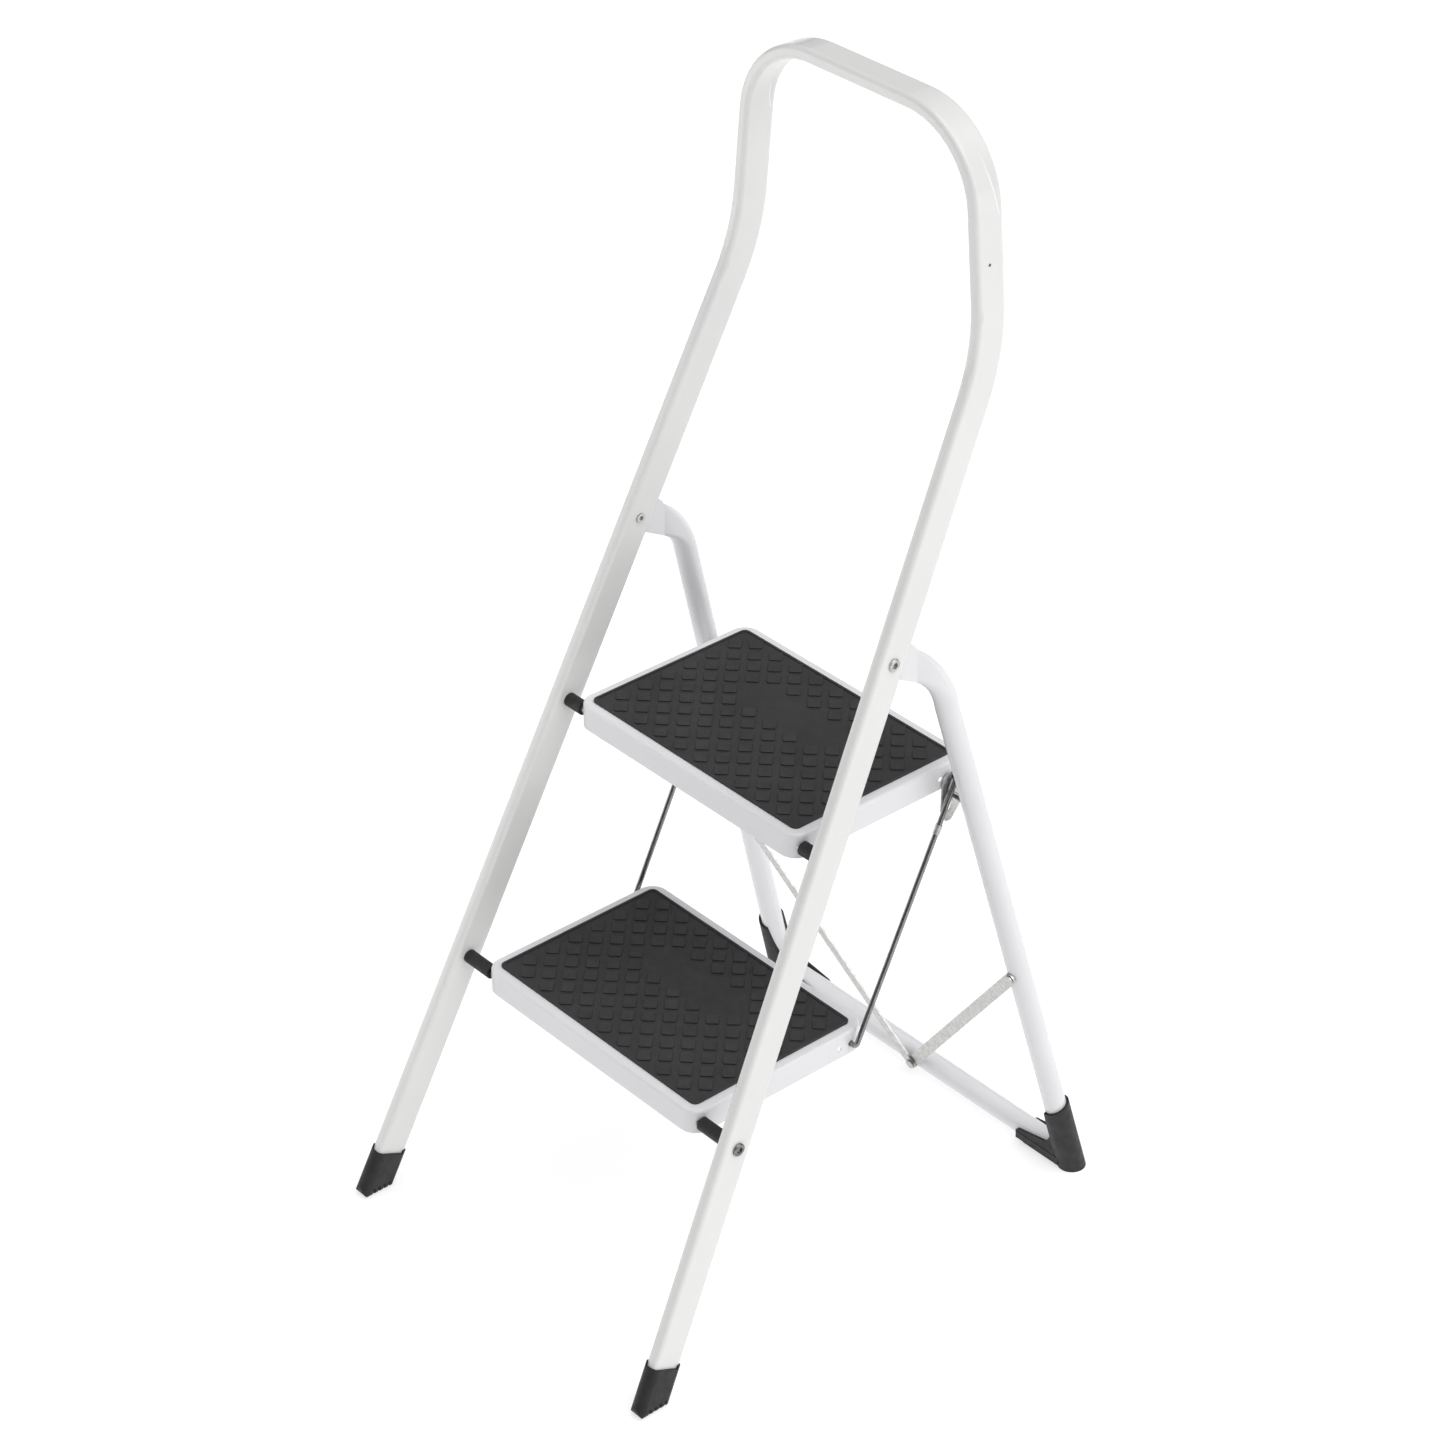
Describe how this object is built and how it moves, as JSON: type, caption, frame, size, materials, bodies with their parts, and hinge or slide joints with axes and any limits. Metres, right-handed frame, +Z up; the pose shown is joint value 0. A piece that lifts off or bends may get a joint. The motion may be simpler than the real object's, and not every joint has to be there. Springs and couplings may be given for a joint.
{
  "type": "folding step stool",
  "caption": "Folding step stool with matted treads, a tall handrail loop, a braced rear frame and rod-linked steps that fold flat.",
  "frame": {"origin": "on the floor, at the middle of the stool's bounding box", "axes": "+Z up, -Y towards the user who climbs the stool, +X to that user's right"},
  "size_m": [0.438, 0.5562, 1.0892],
  "materials": {
    "white_paint": "smooth semi-gloss powder coat",
    "black_plastic": "satin moulded plastic",
    "mat_rubber": "matt ribbed sheet",
    "zinc": "bright zinc plate",
    "bright_wire": "polished drawn wire"
  },
  "bodies": {
    "rail_frame_body": {"rail_frame": "white_paint", "front_foot_left": "black_plastic", "front_foot_right": "black_plastic", "upper_axle": "zinc", "lower_axle_bolt": "zinc", "lower_axle_cap": "zinc", "upper_spacer_left": "black_plastic", "upper_spacer_right": "black_plastic", "lower_spacer_left": "black_plastic", "lower_spacer_right": "black_plastic", "pivot_rivet_left": "zinc", "pivot_rivet_right": "zinc"},
    "rear_frame_body": {"leg_left": "white_paint", "leg_right": "white_paint", "cross_tube": "white_paint", "rear_foot_left": "black_plastic", "rear_foot_right": "black_plastic", "brace_left": "zinc", "brace_right": "zinc", "brace_rivets": "zinc", "support_hook_left": "zinc", "support_hook_right": "zinc", "hook_rivet_left": "zinc", "hook_rivet_right": "zinc"},
    "upper_step_body": {"upper_tray": "white_paint", "upper_mat": "mat_rubber"},
    "lower_step_body": {"lower_tray": "white_paint", "lower_mat": "mat_rubber"},
    "rod_left_body": {"coupling_rod_left": "bright_wire", "rod_clips_left": "zinc", "rod_collar_left": "zinc"},
    "rod_right_body": {"coupling_rod_right": "bright_wire", "rod_clips_right": "zinc", "rod_collar_right": "zinc"}
  },
  "joints": [
    {"name": "rear_frame_hinge", "type": "hinge", "parent": "rail_frame_body", "child": "rear_frame_body", "pos_m": [0, 0.04387, 0.6366], "axis": [-1, 0, 0], "range_deg": [0, 41]},
    {"name": "upper_step_hinge", "type": "hinge", "parent": "rail_frame_body", "child": "upper_step_body", "pos_m": [0, -0.03485, 0.4724], "axis": [1, 0, 0], "range_deg": [0, 61.1]},
    {"name": "lower_step_hinge", "type": "hinge", "parent": "rail_frame_body", "child": "lower_step_body", "pos_m": [0, -0.15015, 0.2319], "axis": [1, 0, 0], "range_deg": [0, 61.1]},
    {"name": "left_rod_hinge", "type": "hinge", "parent": "upper_step_body", "child": "rod_left_body", "pos_m": [0, 0.14215, 0.4714], "axis": [-1, 0, 0], "range_deg": [0, 61.1]},
    {"name": "right_rod_hinge", "type": "hinge", "parent": "upper_step_body", "child": "rod_right_body", "pos_m": [0, 0.14215, 0.4714], "axis": [-1, 0, 0], "range_deg": [0, 61.1]}
  ],
  "couplings": [
    {"joint": "upper_step_hinge", "follows": "rear_frame_hinge", "ratio": 1.4878},
    {"joint": "lower_step_hinge", "follows": "rear_frame_hinge", "ratio": 1.4878},
    {"joint": "left_rod_hinge", "follows": "rear_frame_hinge", "ratio": 1.4878},
    {"joint": "right_rod_hinge", "follows": "rear_frame_hinge", "ratio": 1.4878}
  ]
}
